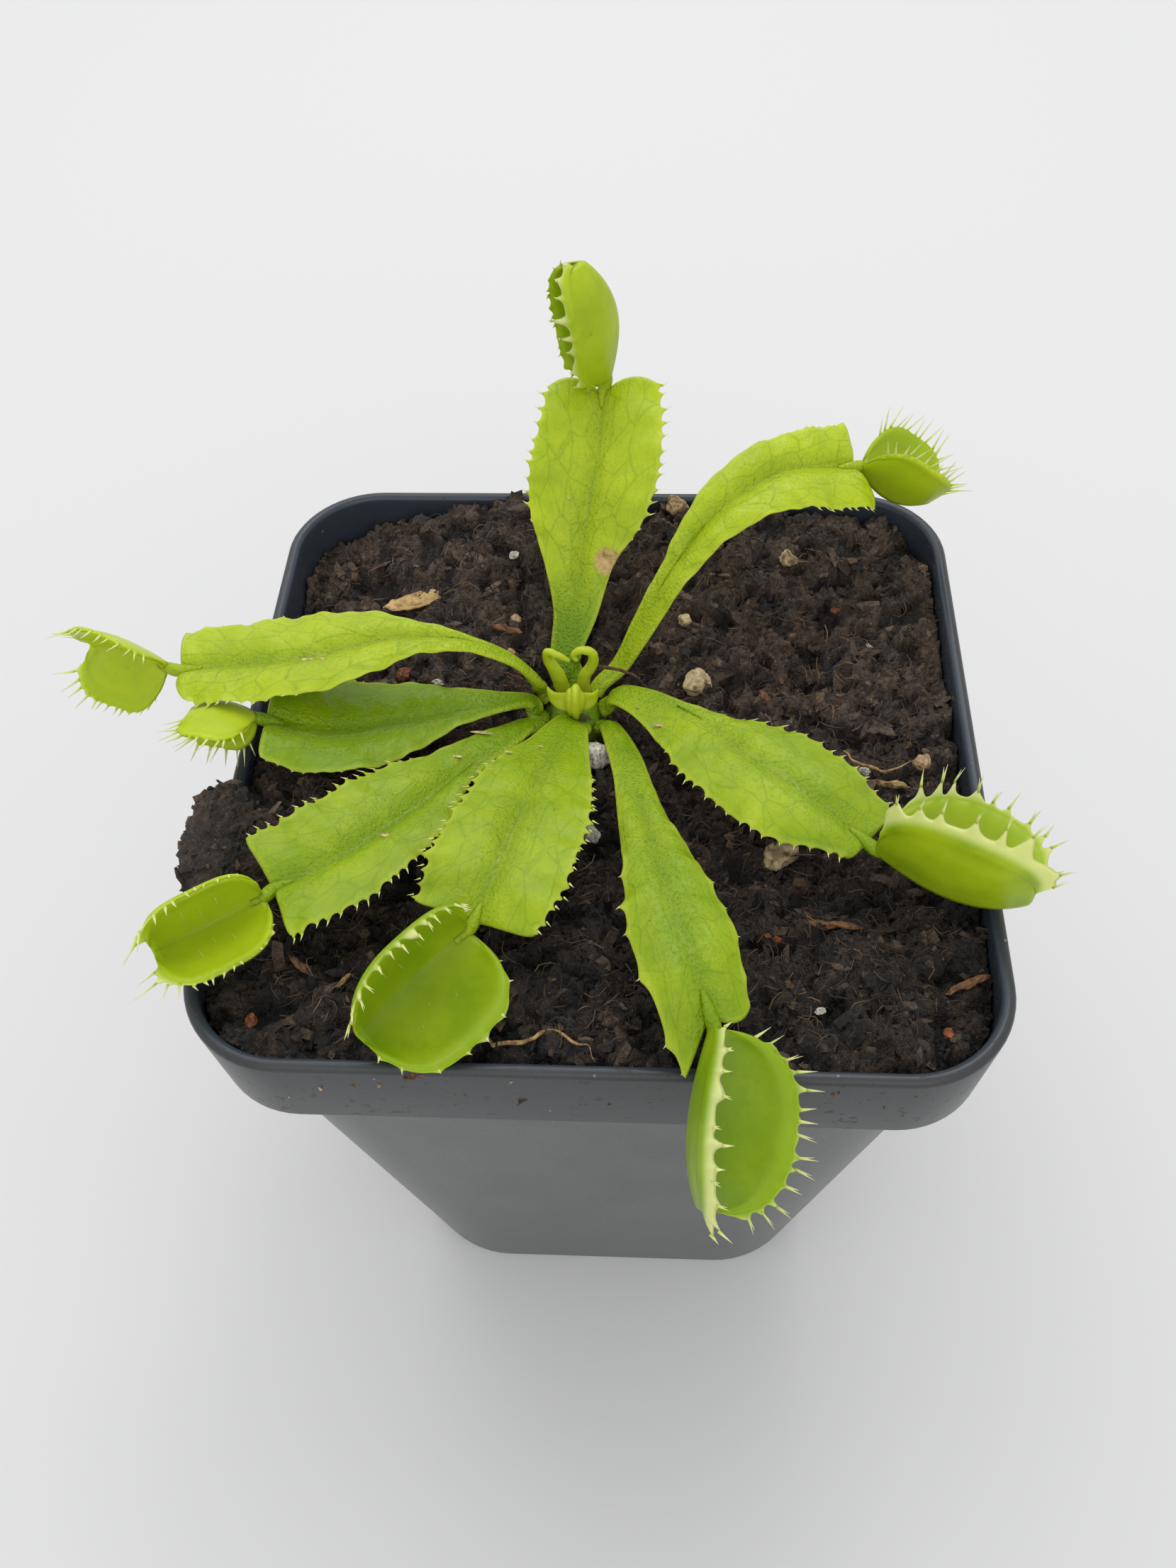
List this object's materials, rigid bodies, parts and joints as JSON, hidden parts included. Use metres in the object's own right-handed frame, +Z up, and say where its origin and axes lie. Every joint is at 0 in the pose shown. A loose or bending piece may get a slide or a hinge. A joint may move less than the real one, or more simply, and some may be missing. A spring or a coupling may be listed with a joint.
{
  "type": "potted venus flytrap",
  "caption": "Young all-green venus flytrap in a square tapered nursery pot of dark soil, with broad toothed leaf stalks and bristle-edged traps in a loose rosette.",
  "frame": {"origin": "centre of the pot's square foot, on the surface it stands on", "axes": "+Z up, +X towards the pot's right side and +Y towards its back, as seen in the picture"},
  "size_m": [0.1164, 0.1109, 0.132],
  "materials": {
    "pot_plastic": "satin mid-grey moulded plastic",
    "peat_soil": "dark, damp, fibrous peat",
    "rhizome": "pale green, fleshy, matt",
    "leaf": "bright yellow-green, finely bumpy, soft sheen",
    "young_leaf": "pale yellow-green, speckled, soft sheen"
  },
  "bodies": {
    "root": {"pot": "pot_plastic", "soil": "peat_soil", "rhizome": "rhizome", "leaf_back": "leaf", "leaf_back_right": "leaf", "leaf_left_upper": "leaf", "leaf_left_middle": "leaf", "leaf_left_lower": "leaf", "leaf_front_left": "leaf", "leaf_front_right": "leaf", "leaf_right": "leaf", "young_leaf_left": "young_leaf", "young_leaf_right": "young_leaf", "young_leaf_bud": "young_leaf"}
  },
  "joints": []
}
